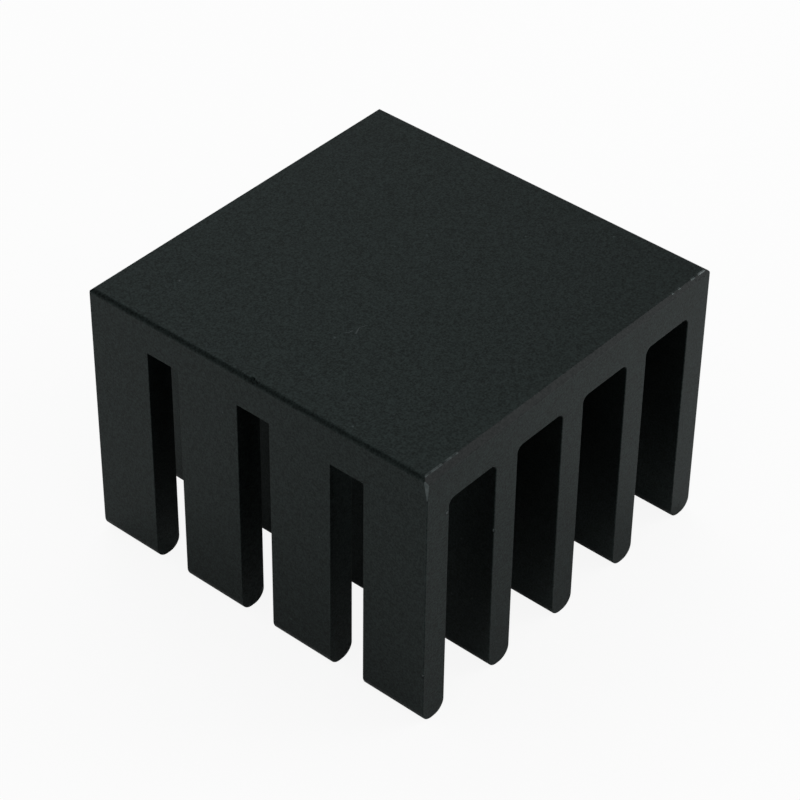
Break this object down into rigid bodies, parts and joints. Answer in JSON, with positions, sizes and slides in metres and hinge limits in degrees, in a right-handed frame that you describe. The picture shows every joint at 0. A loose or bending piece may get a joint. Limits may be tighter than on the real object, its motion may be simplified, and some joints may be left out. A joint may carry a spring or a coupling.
{
  "type": "heat sink",
  "caption": "Square pin heat sink: a flat mounting plate with cross-cut fins that carry heat from a chip to the air.",
  "frame": {"origin": "centre of the plane that the pin tips stand on", "axes": "+Z from the pin tips to the flat mounting face, which is up; the extrusion runs along Y, and the fins are side by side along X"},
  "size_m": [0.028, 0.0284, 0.0202],
  "materials": {
    "black_anodised_aluminium": "matte black anodised"
  },
  "bodies": {
    "root": {"heat_sink": "black_anodised_aluminium"}
  },
  "joints": []
}
